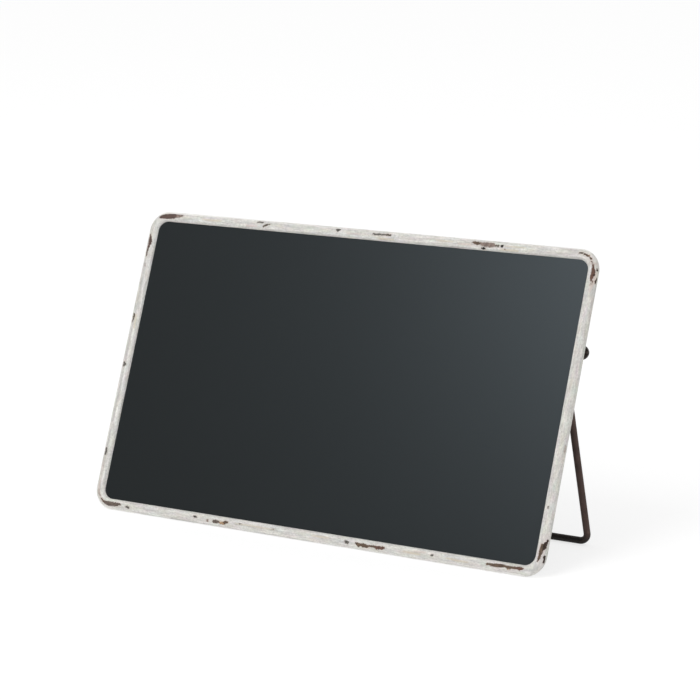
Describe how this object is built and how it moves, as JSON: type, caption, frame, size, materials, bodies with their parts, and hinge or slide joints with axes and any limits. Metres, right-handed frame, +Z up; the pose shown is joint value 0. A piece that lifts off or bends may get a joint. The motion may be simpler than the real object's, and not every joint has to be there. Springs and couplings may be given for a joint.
{
  "type": "tabletop chalkboard",
  "caption": "Small tabletop chalkboard: a dark writing sheet in a round painted metal rim, leaning back on a folding wire stand.",
  "frame": {"origin": "on the table, under the middle of the whole object with its stand open", "axes": "+Z up, -Y the side that the writing sheet faces, +X to the right as the sheet is read"},
  "size_m": [0.254, 0.067, 0.145],
  "materials": {
    "rim_paint": "off-white paint, worn through to brown in chips",
    "chalk_surface": "satin black chalk coating",
    "hardboard": "raw hardboard",
    "back_paint": "black paint",
    "lug_steel": "dark brown paint",
    "rivet_steel": "dulled steel",
    "wire_finish": "blackened brown steel wire",
    "washer_steel": "darkened steel",
    "nut_steel": "blackened steel"
  },
  "bodies": {
    "board": {"rim_frame": "rim_paint", "writing_panel": "chalk_surface", "core_board": "hardboard", "back_plate": "back_paint", "left_hinge_lug": "lug_steel", "right_hinge_lug": "lug_steel", "left_lug_rivets": "rivet_steel", "right_lug_rivets": "rivet_steel"},
    "stand": {"stand_wire": "wire_finish", "left_inner_washer": "washer_steel", "right_inner_washer": "washer_steel", "left_outer_washer": "washer_steel", "right_outer_washer": "washer_steel", "left_dome_nut": "nut_steel", "right_dome_nut": "nut_steel"}
  },
  "joints": [
    {"name": "stand_fold", "type": "hinge", "parent": "board", "child": "stand", "pos_m": [0, 0.01481, 0.09799], "axis": [-1, 0, 0], "range_deg": [0, 33.7]}
  ]
}
